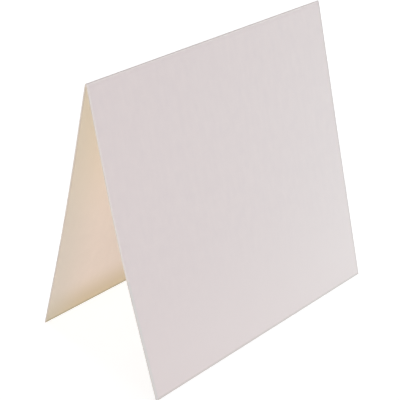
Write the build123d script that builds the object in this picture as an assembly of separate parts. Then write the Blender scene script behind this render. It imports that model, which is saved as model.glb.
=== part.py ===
from build123d import *
import math
import os

# A blank greeting card: one sheet of heavy card stock, scored across its middle,
# folded once and stood on its two bottom edges as a tent.
# Millimetres and degrees. X runs along the fold, the front panel leans to -Y,
# the back panel to +Y, and the card stands on Z = 0.

# Sheet
card_width = 127.0
panel_height = 127.0
stock = 0.5

# How far the folded card has sprung open, between the inner corners of its two bottom edges
foot_spread = 70.0

# Fold. The outer face rolls over the ridge, and the score pushes a bead out on the inside.
ridge_radius = 0.6
bead_radius = 0.4

# Score: the face is pressed in a little beside the ridge, and a short shoulder climbs out of it
score_depth = 0.06
score_reach = 0.7
shoulder_run = 0.4

# Front panel: flat at its top and at its foot, bent gently between them.
# The bend is plain at the -X end and all but gone at the +X end.
front_upper_run = 36.0
front_lower_run = 42.0
front_bend_near = 4.6
front_bend_far = 0.3

# Back panel: a longer, softer bend, the same at both ends
back_upper_run = 25.0
back_lower_run = 25.0
back_bend = 2.8

# Worked out from the sizes above. Offsets are from the fold's centre line to a face.
inner_offset = ridge_radius - stock
pressed_offset = ridge_radius - score_depth
bead_start = math.sqrt(bead_radius**2 - inner_offset**2)
straight_leg = math.hypot(inner_offset, panel_height)
fold_height = math.sqrt(straight_leg**2 - (foot_spread / 2) ** 2)

FRONT = -1
BACK = 1


class Panel:
    """One panel's profile at one end of the card. Its points are laid out from the centre of the fold,
    as a distance out towards its outer face and a distance down the panel."""

    def __init__(self, side, upper_run, lower_run, bend):
        self.side = side
        self.upper_run = upper_run
        self.lower_run = lower_run
        self.bend = math.radians(bend)
        self.bend_radius = (panel_height - upper_run - lower_run) / self.bend
        self.lean = self.resting_lean()

    def past_flat(self, offset, turned, further=0.0):
        """A point on the face at this offset, where so much of the bend is behind it,
        or further on from there in a straight line."""
        from_centre = self.bend_radius - offset
        out = self.bend_radius - from_centre * math.cos(turned) + further * math.sin(turned)
        down = self.upper_run + from_centre * math.sin(turned) + further * math.cos(turned)
        return out, down

    def resting_lean(self):
        """The lean from upright that brings the inner corner of the bottom edge to the ground."""
        out, down = self.past_flat(inner_offset, self.bend, self.lower_run)
        return math.acos(fold_height / math.hypot(out, down)) - math.atan2(out, down)

    def place(self, out, down):
        """A point of the panel in the section's Y and Z."""
        y = out * math.cos(self.lean) + down * math.sin(self.lean)
        z = out * math.sin(self.lean) - down * math.cos(self.lean)
        return self.side * y, fold_height + z

    def bend_points(self, offset):
        """Start, middle and end of the bend on one face."""
        return [self.place(*self.past_flat(offset, turned)) for turned in (0.0, self.bend / 2, self.bend)]

    def foot(self, offset):
        """The bottom edge's corner on one face."""
        return self.place(*self.past_flat(offset, self.bend, self.lower_run))

    def outer_face(self):
        """From the ridge, over the score's shoulder and round the bend, to the bottom edge."""
        start, middle, end = self.bend_points(ridge_radius)
        ridge_side = self.place(pressed_offset, 0.0)
        shoulder_foot = self.place(pressed_offset, score_reach)
        shoulder_top = self.place(ridge_radius, score_reach + shoulder_run)
        return [
            Line(ridge_side, shoulder_foot),
            Line(shoulder_foot, shoulder_top),
            Line(shoulder_top, start),
            ThreePointArc(start, middle, end),
            Line(end, self.foot(ridge_radius)),
        ]

    def bottom_edge(self):
        """The square cut across the stock."""
        return Line(self.foot(ridge_radius), self.foot(inner_offset))

    def inner_face(self):
        """From the bottom edge, round the bend, to the bead under the fold."""
        start, middle, end = self.bend_points(inner_offset)
        return [
            Line(self.foot(inner_offset), end),
            ThreePointArc(end, middle, start),
            Line(start, self.place(inner_offset, bead_start)),
        ]

    def outline(self):
        """Down the outer face, across the cut and back up inside."""
        return [*self.outer_face(), self.bottom_edge(), *self.inner_face()]


def card_section(x, front_bend):
    """The closed section across the card, at one end of the fold."""
    front = Panel(FRONT, front_upper_run, front_lower_run, front_bend)
    back = Panel(BACK, back_upper_run, back_lower_run, back_bend)
    ridge_top = (0.0, fold_height + pressed_offset)
    ridge = ThreePointArc(front.place(pressed_offset, 0.0), ridge_top, back.place(pressed_offset, 0.0))
    bead_low = (0.0, fold_height - bead_radius)
    bead_ends = [panel.place(inner_offset, bead_start) for panel in (front, back)]
    bead = ThreePointArc(bead_ends[0], bead_low, bead_ends[1])
    edge = Wire([ridge, *front.outline(), bead, *back.outline()])
    return Plane.YZ.offset(x) * Face(edge)


def folded_card():
    """Straight lines along the card join its two end sections, as they do in any bent sheet."""
    near_end = card_section(-card_width / 2, front_bend_near)
    far_end = card_section(card_width / 2, front_bend_far)
    card = loft([near_end, far_end], ruled=True)
    box = card.bounding_box()
    return card.moved(Location((0, -(box.min.Y + box.max.Y) / 2, -box.min.Z)))


os.makedirs("parts", exist_ok=True)
export_step(folded_card(), "parts/folded_card.step")
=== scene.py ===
import math
from typing import NamedTuple

import bmesh
import bpy
from mathutils import Matrix, Vector


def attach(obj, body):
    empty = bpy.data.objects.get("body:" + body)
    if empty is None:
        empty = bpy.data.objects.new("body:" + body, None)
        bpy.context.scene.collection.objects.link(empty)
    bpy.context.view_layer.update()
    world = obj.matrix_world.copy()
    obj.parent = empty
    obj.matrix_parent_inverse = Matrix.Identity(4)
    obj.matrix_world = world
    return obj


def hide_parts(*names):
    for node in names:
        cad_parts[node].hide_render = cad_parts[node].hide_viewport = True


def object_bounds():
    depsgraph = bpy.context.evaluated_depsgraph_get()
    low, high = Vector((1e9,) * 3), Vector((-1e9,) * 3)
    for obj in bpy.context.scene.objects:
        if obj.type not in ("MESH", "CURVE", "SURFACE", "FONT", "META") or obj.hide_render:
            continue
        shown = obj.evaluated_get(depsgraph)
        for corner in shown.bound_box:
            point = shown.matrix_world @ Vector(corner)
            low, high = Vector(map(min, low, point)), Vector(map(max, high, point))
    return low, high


# A blank greeting card standing as a tent: the visual model of its one folded sheet.
# Metres. X runs along the fold, the front panel leans to -Y, and the card stands on Z = 0.

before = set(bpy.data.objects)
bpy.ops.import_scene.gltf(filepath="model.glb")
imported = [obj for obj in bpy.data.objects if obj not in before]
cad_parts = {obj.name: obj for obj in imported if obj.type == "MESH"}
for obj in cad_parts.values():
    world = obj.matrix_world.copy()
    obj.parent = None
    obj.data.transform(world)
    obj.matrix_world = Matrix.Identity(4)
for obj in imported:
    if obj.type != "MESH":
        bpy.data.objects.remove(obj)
cad_low, cad_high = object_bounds()

MM = 0.001

# The sheet and its fold, as the card's solid has them
stock = 0.5 * MM
panel_height = 127.0 * MM
foot_spread = 70.0 * MM
ridge_radius = 0.6 * MM
bead_radius = 0.4 * MM
score_depth = 0.06 * MM
score_reach = 0.7 * MM
shoulder_run = 0.4 * MM

# The gentle bends of the two panels, at the near and the far end, and how much above and below them
# stays flat. The front one's bend fades towards the far end, at +X.
front_flats = (36.0 * MM, 42.0 * MM)
back_flats = (25.0 * MM, 25.0 * MM)
front_bends = (math.radians(4.6), math.radians(0.3))
back_bends = (math.radians(2.8), math.radians(2.8))

# How finely the sheet is divided
columns = 48
ridge_rows = 18
score_rows = 2
shoulder_rows = 6
flat_rows = 6
bend_rows = 14

# The guillotine leaves the cut edges very slightly rounded
cut_rounding = 0.05 * MM
rounding_steps = 2
sharp_from = math.radians(20)

# A face is a cut edge where it looks this squarely along the card, or down within the foot band
squarely = 0.7
foot_band = 1.0 * MM

# Up to this height the near end's edge is a little grey, with painted shade
shaded_rim_height = 50.0 * MM

# The board's texture. Clouds of pulp and the felt's grain have their real size. Real fibres are about
# 0.03 mm across, so the tooth, the cracks and the cut ends are drawn at the finest size that shows.
cloud_size = 5.0 * MM
grain_size = 2.2 * MM
grain_stretch = 0.22
grain_share = 0.45
tooth_size = 0.5 * MM
tooth_share = 0.3
tooth_relief = 0.03 * MM
crack_size = 0.35 * MM
crack_relief = 0.05 * MM
cut_fibre_size = 0.4 * MM
cut_fibre_relief = 0.04 * MM
card_ior = 1.47

# Noise hardly leaves these limits, and the pulp's pattern, mixed from three, stays within closer ones
noise_low, noise_high = 0.3, 0.7
pulp_low, pulp_high = 0.36, 0.64

# The tabletop. Round the card its glow leaves room for the shadow, and further off it is plain white.
floor_half = 2.5
floor_gap = 0.05 * MM
shadow_radius = 0.25
white_radius = 0.8
glow_by_card = 0.8

# Light that the pale room gives by itself
room_strength = 0.1

# Photograph's viewpoint
camera_place = Vector((-273.4, -264.0, 271.9)) * MM
camera_heading = math.radians(45.39)
camera_tilt = math.radians(30.27)
camera_roll = math.radians(0.93)
camera_lens = 93.96
sensor_width = 36.0
nearest_seen = 0.01
furthest_seen = 10.0

# Worked out from the sizes above. Offsets are from the fold's centre line to a face.
inner_offset = ridge_radius - stock
pressed_offset = ridge_radius - score_depth
bead_start = math.sqrt(bead_radius**2 - inner_offset**2)
fold_height = math.sqrt(inner_offset**2 + panel_height**2 - (foot_spread / 2) ** 2)
score_end = score_reach + shoulder_run

# Over the sheet, from the top of the ridge, which turns about this much on either side, to where a
# panel starts, and on to its foot
ridge_turn = math.radians(75)
ridge_run = pressed_offset * ridge_turn
sheet_run = ridge_run + panel_height


def linear(hex_colour):
    """An sRGB colour such as #DDD3D3 as linear red, green and blue with alpha."""
    shares = [int(hex_colour[i : i + 2], 16) / 255 for i in (1, 3, 5)]
    turned = [s / 12.92 if s <= 0.04045 else ((s + 0.055) / 1.055) ** 2.4 for s in shares]
    return (*turned, 1.0)


def add_node(tree, kind, settings=None, values=None, links=None):
    """Adds a shader node, with its settings, the values of its sockets and the sockets that feed them."""
    node = tree.nodes.new(kind)
    for name, value in (settings or {}).items():
        setattr(node, name, value)
    for name, value in (values or {}).items():
        node.inputs[name].default_value = value
    for name, source in (links or {}).items():
        tree.links.new(source, node.inputs[name])
    return node


# The folded sheet


class PanelProfile:
    """A panel at one end of the card, laid out from the fold's centre: out to its face, and down it."""

    def __init__(self, side, flats, bend):
        self.side = side
        self.upper, self.lower = flats
        self.bend = bend
        self.bend_run = panel_height - self.upper - self.lower
        self.radius = self.bend_run / bend
        foot_out, foot_down = self.down_the_panel(inner_offset, panel_height)
        reach = math.hypot(foot_out, foot_down)
        self.lean = math.acos(fold_height / reach) - math.atan2(foot_out, foot_down)

    def down_the_panel(self, offset, down):
        """Out and down of a point on the face at this offset, so far along the panel."""
        if down <= self.upper:
            return offset, down
        turned = min((down - self.upper) / self.radius, self.bend)
        further = max(down - self.upper - self.bend_run, 0.0)
        from_centre = self.radius - offset
        out = self.radius - from_centre * math.cos(turned) + further * math.sin(turned)
        return out, self.upper + from_centre * math.sin(turned) + further * math.cos(turned)

    def place(self, out, down):
        """The point's Y and Z on the standing card."""
        y = out * math.cos(self.lean) + down * math.sin(self.lean)
        z = out * math.sin(self.lean) - down * math.cos(self.lean)
        return self.side * y, fold_height + z

    def outer(self, down):
        """The outer face, pressed in beside the ridge and climbing out over the score's shoulder."""
        climbed = min(max((down - score_reach) / shoulder_run, 0.0), 1.0)
        softly = climbed * climbed * (3.0 - 2.0 * climbed)
        return self.place(*self.down_the_panel(pressed_offset + score_depth * softly, down))

    def inner(self, down):
        """The inner face, which starts beside the bead."""
        if down < score_reach:
            down = bead_start + (score_reach - bead_start) * down / score_reach
        return self.place(*self.down_the_panel(inner_offset, down))

    def round_the_fold(self, share):
        """Points on the ridge and on the bead below it. The share is 0 at the top and 1 at the panel."""
        ridge_turned = share * (math.pi / 2 - self.lean)
        bead_turned = share * (self.lean + math.atan2(inner_offset, bead_start))
        ridge_y = self.side * pressed_offset * math.sin(ridge_turned)
        ridge_z = fold_height + pressed_offset * math.cos(ridge_turned)
        bead_y = self.side * bead_radius * math.sin(bead_turned)
        bead_z = fold_height - bead_radius * math.cos(bead_turned)
        return (ridge_y, ridge_z), (bead_y, bead_z)


class Row(NamedTuple):
    """A row of points along the card: its distance from the ridge over the sheet, less than nothing on
    the front panel, and its Y and Z on the outer and on the inner face."""

    over: float
    outer: tuple
    inner: tuple


def stretch(start, end, steps):
    """Evenly spaced places after the start, up to the end."""
    return [start + (end - start) * (i + 1) / steps for i in range(steps)]


def panel_rows(flats):
    """How far down a panel its rows of points lie, dense beside the score and round the bend."""
    upper, lower = flats
    bend_end = panel_height - lower
    return [
        0.0,
        *stretch(0.0, score_reach, score_rows),
        *stretch(score_reach, score_end, shoulder_rows),
        score_end + shoulder_run,
        *stretch(score_end + shoulder_run, upper, flat_rows),
        *stretch(upper, bend_end, bend_rows),
        *stretch(bend_end, panel_height, flat_rows),
    ]


def sheet_rows(end):
    """The sheet's rows at one end of the card, from the front foot over the fold to the back foot."""
    front = PanelProfile(-1, front_flats, front_bends[end])
    back = PanelProfile(1, back_flats, back_bends[end])
    rows = []
    for down in reversed(panel_rows(front_flats)):
        rows.append(Row(-ridge_run - down, front.outer(down), front.inner(down)))
    for step in range(1, ridge_rows):
        share = 2 * step / ridge_rows - 1
        panel = front if share < 0 else back
        rows.append(Row(share * ridge_run, *panel.round_the_fold(abs(share))))
    for down in panel_rows(back_flats):
        rows.append(Row(ridge_run + down, back.outer(down), back.inner(down)))
    return rows


def sheet_mesh():
    """A flat grid, one unit wide and high, is folded over the rows, and given the stock's thickness."""
    near, far = sheet_rows(0), sheet_rows(1)
    last_row = len(near) - 1
    width = cad_high.x - cad_low.x
    bm = bmesh.new()
    row_of = bm.verts.layers.int.new("row")
    column_of = bm.verts.layers.int.new("column")
    bmesh.ops.create_grid(bm, x_segments=columns, y_segments=last_row, size=0.5)
    for vert in bm.verts:
        vert[row_of] = round((vert.co.y + 0.5) * last_row)
        vert[column_of] = round((vert.co.x + 0.5) * columns)

    def lay(verts, near_places, far_places):
        """Moves points to their rows. A row is straight from the near end to the far end."""
        for vert in verts:
            share = vert[column_of] / columns
            start, end = near_places[vert[row_of]], far_places[vert[row_of]]
            y, z = (a + (b - a) * share for a, b in zip(start, end))
            vert.co = (cad_low.x + width * share, y, z)

    lay(bm.verts, [row.outer for row in near], [row.outer for row in far])
    grown = bmesh.ops.extrude_face_region(bm, geom=bm.faces[:])["geom"]
    grown_verts = [item for item in grown if isinstance(item, bmesh.types.BMVert)]
    lay(grown_verts, [row.inner for row in near], [row.inner for row in far])
    bmesh.ops.recalc_face_normals(bm, faces=bm.faces)

    over_the_sheet = bm.loops.layers.uv.new("sheet")
    for face in bm.faces:
        for loop in face.loops:
            loop[over_the_sheet].uv = (loop.vert.co.x, near[loop.vert[row_of]].over)
    return bm


OUTSIDE, INSIDE, CUT = 0, 1, 2


def sort_faces(bm):
    """Gives each face its material: the outer face, the inner face or the cut edges."""
    for face in bm.faces:
        at_end = abs(face.normal.x) > squarely
        at_foot = face.calc_center_median().z < foot_band and face.normal.z < -squarely
        if at_end or at_foot:
            face.material_index = CUT
        elif face.normal.z > 0:
            face.material_index = OUTSIDE
        else:
            face.material_index = INSIDE


def round_cut_edges(bm):
    """Rounds the corners of the cut edges and keeps the turn to them crisp."""
    corners = []
    for edge in bm.edges:
        sides = {face.material_index for face in edge.link_faces}
        if len(sides) == 2 and CUT in sides:
            corners.append(edge)
    bmesh.ops.bevel(
        bm,
        geom=corners,
        offset=cut_rounding,
        segments=rounding_steps,
        affect="EDGES",
        profile=0.5,
        material=-1,
    )
    for face in bm.faces:
        face.smooth = True
    for edge in bm.edges:
        edge.smooth = edge.calc_face_angle(0.0) < sharp_from


def make_card(materials):
    """The finished sheet, set in the middle of the solid's box from front to back."""
    bm = sheet_mesh()
    sort_faces(bm)
    round_cut_edges(bm)
    low_y = min(vert.co.y for vert in bm.verts)
    high_y = max(vert.co.y for vert in bm.verts)
    to_centre = (cad_low.y + cad_high.y - low_y - high_y) / 2
    bmesh.ops.translate(bm, verts=bm.verts, vec=(0.0, to_centre, 0.0))
    mesh = bpy.data.meshes.new("folded_sheet")
    bm.to_mesh(mesh)
    bm.free()
    for material in materials:
        mesh.materials.append(material)
    card = bpy.data.objects.new("folded_sheet", mesh)
    bpy.context.scene.collection.objects.link(card)
    return card


# Materials

# A Mix node's sockets for colours, which share their names with its sockets for numbers
MIX_FROM, MIX_TO, MIX_RESULT = 6, 7, 2


class Mark(NamedTuple):
    """A change of tone beside an edge or the ridge: where it is measured from, how many millimetres
    from there it is still full and where it is gone, how strong it is, and its colour. A frayed mark is
    one where the guillotine or the score has broken the fibres."""

    start: str
    full: float
    gone: float
    strength: float
    colour: str
    frayed: bool = False


def new_material(name):
    """A material and its empty tree."""
    material = bpy.data.materials.new(name)
    material.use_nodes = True
    material.node_tree.nodes.clear()
    return material, material.node_tree


def settled_pulp(tree, sheet):
    """The pulp's own pattern: soft clouds a few millimetres wide, grain from the felt, drawn out down the
    panels, and a fine tooth over both. Gives the whole of it, and the tooth by itself."""
    cloud = add_node(
        tree,
        "ShaderNodeTexNoise",
        values={"Scale": 1 / cloud_size, "Detail": 3.0, "Roughness": 0.55},
        links={"Vector": sheet},
    )
    drawn_out = add_node(
        tree, "ShaderNodeMapping", values={"Scale": (1.0, grain_stretch, 1.0)}, links={"Vector": sheet}
    )
    grain = add_node(
        tree,
        "ShaderNodeTexNoise",
        values={"Scale": 1 / grain_size, "Detail": 2.0, "Roughness": 0.5},
        links={"Vector": drawn_out.outputs["Vector"]},
    )
    tooth = add_node(
        tree,
        "ShaderNodeTexNoise",
        values={"Scale": 1 / tooth_size, "Detail": 4.0, "Roughness": 0.6},
        links={"Vector": sheet},
    ).outputs["Fac"]
    clouded = add_node(
        tree,
        "ShaderNodeMix",
        {"data_type": "FLOAT"},
        {"Factor": grain_share},
        {"A": cloud.outputs["Fac"], "B": grain.outputs["Fac"]},
    )
    toothed = add_node(
        tree,
        "ShaderNodeMix",
        {"data_type": "FLOAT"},
        {"Factor": tooth_share},
        {"A": clouded.outputs["Result"], "B": tooth},
    )
    return toothed.outputs["Result"], tooth


def sheet_distances(tree, sheet):
    """How far a point lies from the ridge, the foot, the two ends and the shaded rim, which is the
    near end's rim up to the height where shade is painted on it."""
    apart = add_node(tree, "ShaderNodeSeparateXYZ", links={"Vector": sheet})
    along, over = apart.outputs["X"], apart.outputs["Y"]
    ridge = add_node(tree, "ShaderNodeMath", {"operation": "ABSOLUTE"}, links={0: over}).outputs[0]
    foot = add_node(
        tree, "ShaderNodeMath", {"operation": "SUBTRACT"}, {0: sheet_run}, {1: ridge}
    ).outputs[0]
    near_end = add_node(
        tree, "ShaderNodeMath", {"operation": "SUBTRACT"}, {1: cad_low.x}, {0: along}
    ).outputs[0]
    far_end = add_node(
        tree, "ShaderNodeMath", {"operation": "SUBTRACT"}, {0: cad_high.x}, {1: along}
    ).outputs[0]
    past_shaded_height = add_node(
        tree, "ShaderNodeMath", {"operation": "SUBTRACT"}, {1: shaded_rim_height}, {0: foot}
    ).outputs[0]
    above_shaded_height = add_node(
        tree, "ShaderNodeMath", {"operation": "MAXIMUM"}, {1: 0.0}, {0: past_shaded_height}
    ).outputs[0]
    shaded_rim = add_node(
        tree, "ShaderNodeMath", {"operation": "ADD"}, links={0: near_end, 1: above_shaded_height}
    ).outputs[0]
    return {
        "ridge": ridge,
        "foot": foot,
        "near end": near_end,
        "far end": far_end,
        "shaded rim": shaded_rim,
    }


def lay_marks(tree, colour, distances, marks, ragged):
    """Lays the marks over the colour in turn. Gives the new colour, and how far the fibres are broken."""
    broken = None
    for mark in marks:
        amount = add_node(
            tree,
            "ShaderNodeMapRange",
            {"interpolation_type": "SMOOTHSTEP"},
            {
                "From Min": mark.full * MM,
                "From Max": mark.gone * MM,
                "To Min": mark.strength,
                "To Max": 0.0,
            },
            {"Value": distances[mark.start]},
        ).outputs["Result"]
        if mark.frayed:
            amount = add_node(
                tree, "ShaderNodeMath", {"operation": "MULTIPLY"}, links={0: amount, 1: ragged}
            ).outputs[0]
            if broken is None:
                broken = amount
            else:
                broken = add_node(
                    tree, "ShaderNodeMath", {"operation": "MAXIMUM"}, links={0: broken, 1: amount}
                ).outputs[0]
        colour = add_node(
            tree,
            "ShaderNodeMix",
            {"data_type": "RGBA"},
            {MIX_TO: linear(mark.colour)},
            {"Factor": amount, MIX_FROM: colour},
        ).outputs[MIX_RESULT]
    return colour, broken


def card_face(name, light, dark, marks):
    """A face of uncoated card stock, pressed smooth between felts: matt, with a faint sheen, and never
    quite one tone. The marks paint light and shade on it beside the edges and the ridge, and where
    fibres are broken there it is a little ragged."""
    material, tree = new_material(name)
    sheet = add_node(tree, "ShaderNodeUVMap", {"uv_map": "sheet"}).outputs["UV"]
    pulp, tooth = settled_pulp(tree, sheet)
    tone = add_node(tree, "ShaderNodeValToRGB", links={"Fac": pulp})
    tone.color_ramp.elements[0].position = pulp_low
    tone.color_ramp.elements[0].color = linear(dark)
    tone.color_ramp.elements[1].position = pulp_high
    tone.color_ramp.elements[1].color = linear(light)

    cracks = add_node(
        tree,
        "ShaderNodeTexNoise",
        values={"Scale": 1 / crack_size, "Detail": 3.0, "Roughness": 0.7},
        links={"Vector": sheet},
    ).outputs["Fac"]
    ragged = add_node(
        tree,
        "ShaderNodeMapRange",
        values={"From Min": noise_low, "From Max": noise_high, "To Min": 0.55, "To Max": 1.0},
        links={"Value": cracks},
    ).outputs["Result"]
    distances = sheet_distances(tree, sheet)
    colour, broken = lay_marks(tree, tone.outputs["Color"], distances, marks, ragged)

    rough = add_node(
        tree,
        "ShaderNodeMapRange",
        values={"From Min": noise_low, "From Max": noise_high, "To Min": 0.74, "To Max": 0.86},
        links={"Value": pulp},
    )
    fibre = add_node(
        tree,
        "ShaderNodeBump",
        values={"Strength": 0.25, "Distance": tooth_relief},
        links={"Height": tooth},
    )
    cracked = add_node(tree, "ShaderNodeMath", {"operation": "MULTIPLY"}, links={0: broken, 1: cracks})
    surface = add_node(
        tree,
        "ShaderNodeBump",
        values={"Strength": 0.5, "Distance": crack_relief},
        links={"Height": cracked.outputs[0], "Normal": fibre.outputs["Normal"]},
    )
    shader = add_node(
        tree,
        "ShaderNodeBsdfPrincipled",
        values={"IOR": card_ior, "Specular IOR Level": 0.3},
        links={
            "Base Color": colour,
            "Roughness": rough.outputs["Result"],
            "Normal": surface.outputs["Normal"],
        },
    )
    add_node(tree, "ShaderNodeOutputMaterial", links={"Surface": shader.outputs["BSDF"]})
    return material


def cut_stock():
    """The sheared edge of the board: bare cut fibres, so it is quite matt and faintly mottled. Low down
    at the near end it is a little grey, which is painted shade."""
    material, tree = new_material("sheared_board_edge")
    place = add_node(tree, "ShaderNodeTexCoord").outputs["Object"]
    fibres = add_node(
        tree,
        "ShaderNodeTexNoise",
        values={"Scale": 1 / cut_fibre_size, "Detail": 4.0, "Roughness": 0.65},
        links={"Vector": place},
    ).outputs["Fac"]
    tone = add_node(tree, "ShaderNodeValToRGB", links={"Fac": fibres})
    tone.color_ramp.elements[0].position = noise_low
    tone.color_ramp.elements[0].color = linear("#DAD2CB")
    tone.color_ramp.elements[1].position = noise_high
    tone.color_ramp.elements[1].color = linear("#E3DBD4")

    # The panels lean, so a height up the sheet lies a little lower on the standing card
    apart = add_node(tree, "ShaderNodeSeparateXYZ", links={"Vector": place})
    low = add_node(
        tree,
        "ShaderNodeMapRange",
        {"interpolation_type": "SMOOTHSTEP"},
        {
            "From Min": shaded_rim_height - 3.0 * MM,
            "From Max": shaded_rim_height - 1.0 * MM,
            "To Min": 1.0,
            "To Max": 0.0,
        },
        {"Value": apart.outputs["Z"]},
    ).outputs["Result"]
    near = add_node(
        tree, "ShaderNodeMath", {"operation": "LESS_THAN"}, {1: 0.0}, {0: apart.outputs["X"]}
    ).outputs[0]
    # Low down at the near end the cut edge is greyed: painted shade
    near_end_shade = add_node(
        tree, "ShaderNodeMath", {"operation": "MULTIPLY"}, links={0: low, 1: near}
    ).outputs[0]
    greyed = add_node(
        tree,
        "ShaderNodeMix",
        {"data_type": "RGBA"},
        {MIX_TO: linear("#D4CFCB")},
        {"Factor": near_end_shade, MIX_FROM: tone.outputs["Color"]},
    )

    relief = add_node(
        tree,
        "ShaderNodeBump",
        values={"Strength": 0.4, "Distance": cut_fibre_relief},
        links={"Height": fibres},
    )
    shader = add_node(
        tree,
        "ShaderNodeBsdfPrincipled",
        values={"Roughness": 0.85, "IOR": card_ior, "Specular IOR Level": 0.2},
        links={"Base Color": greyed.outputs[MIX_RESULT], "Normal": relief.outputs["Normal"]},
    )
    add_node(tree, "ShaderNodeOutputMaterial", links={"Surface": shader.outputs["BSDF"]})
    return material


def white_tabletop():
    """A matt painted top, seen as white, where the card's soft shadow still shows."""
    material, tree = new_material("white_tabletop")
    spot = add_node(tree, "ShaderNodeTexCoord").outputs["Object"]
    away = add_node(tree, "ShaderNodeVectorMath", {"operation": "LENGTH"}, links={0: spot})
    brightness = add_node(
        tree,
        "ShaderNodeMapRange",
        {"interpolation_type": "SMOOTHSTEP"},
        {"From Min": shadow_radius, "From Max": white_radius, "To Min": glow_by_card, "To Max": 1.0},
        {"Value": away.outputs["Value"]},
    )
    seen = add_node(tree, "ShaderNodeBsdfDiffuse", values={"Color": linear("#ACACAC")})
    glow = add_node(tree, "ShaderNodeEmission", links={"Strength": brightness.outputs["Result"]})
    white = add_node(tree, "ShaderNodeAddShader", links={0: seen.outputs[0], 1: glow.outputs[0]})
    lit = add_node(tree, "ShaderNodeBsdfDiffuse", values={"Color": linear("#E8E8E8")})
    ray = add_node(tree, "ShaderNodeLightPath").outputs["Is Camera Ray"]
    both = add_node(tree, "ShaderNodeMixShader", links={0: ray, 1: lit.outputs[0], 2: white.outputs[0]})
    add_node(tree, "ShaderNodeOutputMaterial", links={"Surface": both.outputs[0]})
    return material


# Studio


def make_floor():
    """The tabletop, a hair below the card so that the two never flicker."""
    bm = bmesh.new()
    bmesh.ops.create_grid(bm, x_segments=1, y_segments=1, size=floor_half)
    bmesh.ops.translate(bm, verts=bm.verts, vec=(0.0, 0.0, cad_low.z - floor_gap))
    mesh = bpy.data.meshes.new("floor")
    bm.to_mesh(mesh)
    bm.free()
    mesh.materials.append(white_tabletop())
    floor = bpy.data.objects.new("floor", mesh)
    bpy.context.scene.collection.objects.link(floor)


def make_world():
    """An even pale room, seen as white behind the card."""
    world = bpy.data.worlds.new("studio")
    bpy.context.scene.world = world
    world.use_nodes = True
    tree = world.node_tree
    tree.nodes.clear()
    white = linear("#FFFFFF")
    room = add_node(tree, "ShaderNodeBackground", values={"Color": white, "Strength": room_strength})
    backdrop = add_node(tree, "ShaderNodeBackground", values={"Color": white, "Strength": 1.0})
    ray = add_node(tree, "ShaderNodeLightPath")
    seen = ray.outputs["Is Camera Ray"]
    for kind in ("Is Glossy Ray", "Is Transmission Ray"):
        seen = add_node(
            tree, "ShaderNodeMath", {"operation": "MAXIMUM"}, links={0: seen, 1: ray.outputs[kind]}
        ).outputs[0]
    mixed = add_node(
        tree, "ShaderNodeMixShader", links={0: seen, 1: room.outputs[0], 2: backdrop.outputs[0]}
    )
    add_node(tree, "ShaderNodeOutputWorld", links={"Surface": mixed.outputs[0]})


def soft_box(name, place, size, power, colour):
    """A soft box, pointed at the middle of the card."""
    lamp = bpy.data.lights.new(name, "AREA")
    lamp.shape = "RECTANGLE"
    lamp.size, lamp.size_y = size
    lamp.energy = power
    lamp.color = linear(colour)[:3]
    box = bpy.data.objects.new(name, lamp)
    towards_card = (cad_low + cad_high) / 2 - Vector(place)
    box.location = place
    box.rotation_mode = "QUATERNION"
    box.rotation_quaternion = towards_card.to_track_quat("-Z", "Y")
    box.visible_camera = False
    bpy.context.scene.collection.objects.link(box)


def make_lamps():
    """A soft box beside the camera lights the front panel and shines in under the fold, and a faintly
    pink one shines in from the far end. A small cool one beside the right-hand edge brightens the front
    panel towards it. A wide one overhead keeps the ridge from going dark, and the last lights the back."""
    soft_box("left_soft_box", (-3.30, -2.98, 0.55), size=(0.8, 1.0), power=157.0, colour="#FFFAF8")
    soft_box("overhead_soft_box", (0.0, 0.0, 3.0), size=(3.0, 3.0), power=24.0, colour="#FFFFFF")
    soft_box("far_end_soft_box", (3.60, 0.0, 0.50), size=(2.0, 1.0), power=72.0, colour="#FFF3F6")
    soft_box("right_soft_box", (0.24, -0.28, 0.04), size=(0.2, 0.06), power=0.32, colour="#D1FAF7")
    soft_box("back_soft_box", (0.30, 1.80, 0.70), size=(1.0, 0.6), power=21.0, colour="#FFFFFF")


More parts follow.
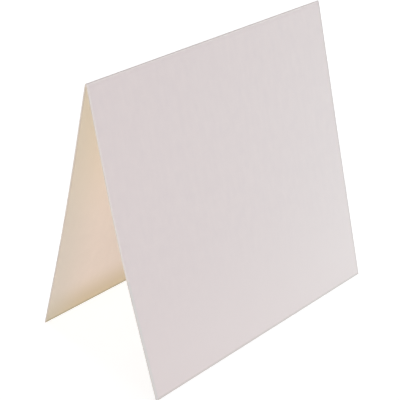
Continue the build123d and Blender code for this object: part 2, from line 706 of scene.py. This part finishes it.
def make_camera():
    """The camera at the photograph's viewpoint."""
    data = bpy.data.cameras.new("camera")
    data.sensor_width = sensor_width
    data.lens = camera_lens
    data.clip_start = nearest_seen
    data.clip_end = furthest_seen
    camera = bpy.data.objects.new("camera", data)
    turn = Matrix.Rotation(-camera_heading, 4, "Z")
    tilt = Matrix.Rotation(math.pi / 2 - camera_tilt, 4, "X")
    roll = Matrix.Rotation(camera_roll, 4, "Z")
    camera.matrix_world = Matrix.Translation(camera_place) @ turn @ tilt @ roll
    bpy.context.scene.collection.objects.link(camera)
    bpy.context.scene.camera = camera


# The pearl white outside is a little pink and grey. Towards the foot its clouds fade out into a lighter
# tone, which is painted light. Its fibres are frayed along the ends and the ridge, where the paler near
# end and ridge are painted light and the darker far end and lower near end are painted shade, and a
# thin darker line along the foot is a painted contact shadow.
outside_face = card_face(
    "pearl_white_card_face",
    light="#DED3D4",
    dark="#DACFD1",
    marks=(
        # Painted light: lighter and more even towards the foot
        Mark("foot", 0.0, 60.0, 1.0, "#DFD4D5"),
        # Painted shade: a thin darker line along the foot, where the card meets the table
        Mark("foot", 0.5, 1.3, 0.95, "#D1C8C7"),
        # Painted shade: a darker rim along the far end, over frayed fibres
        Mark("far end", 0.4, 1.2, 0.7, "#C7C0C0", frayed=True),
        # Painted light: a paler rim along the near end, over frayed fibres
        Mark("near end", 0.3, 1.0, 0.7, "#E3DBD8", frayed=True),
        # Painted shade: the near end's rim greyed low down
        Mark("shaded rim", 0.5, 1.6, 1.0, "#D3D0D0", frayed=True),
        # Painted light: a paler band along the ridge, over its cracked fibres
        Mark("ridge", 0.3, 1.1, 0.8, "#EBE4E2", frayed=True),
    ),
)
# The inside is cream. Warmer towards the fold is painted light, the warmth of light caught between the
# panels; darker and warmer towards the foot is painted shade and bounced light, and greyer towards the
# near end is painted shade. It is frayed in the same places, where its darker rims at the ends and the
# ridge are painted shade, and a dark line along the foot is a painted contact shadow.
inside_face = card_face(
    "cream_card_face",
    light="#F4E7DB",
    dark="#F0E3D7",
    marks=(
        # Painted light: warm light caught between the panels, towards the fold
        Mark("ridge", 0.0, 85.0, 1.0, "#F8E8D0"),
        # Painted shade and bounced light: darker and warmer towards the foot
        Mark("foot", 0.0, 21.0, 1.0, "#DCCDB1"),
        # Painted shade: greyer towards the near end
        Mark("near end", 0.0, 22.0, 0.5, "#D7D4C6"),
        # Painted shade: a dark line along the foot, where the card meets the table
        Mark("foot", 0.6, 1.5, 0.95, "#BDB596"),
        # Painted shade: a darker rim along the far end, over frayed fibres
        Mark("far end", 0.4, 1.2, 0.7, "#DAD1C5", frayed=True),
        # Painted shade: a darker rim along the near end, over frayed fibres
        Mark("near end", 0.3, 0.9, 0.7, "#D2CABF", frayed=True),
        # Painted shade: darker in the crease under the fold, over its cracked fibres
        Mark("ridge", 0.3, 1.1, 0.8, "#DDD0BC", frayed=True),
    ),
)
card = make_card([outside_face, inside_face, cut_stock()])
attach(card, "root")
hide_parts("folded_card")

make_floor()
make_world()
make_lamps()
make_camera()
bpy.context.scene.view_settings.view_transform = "Standard"
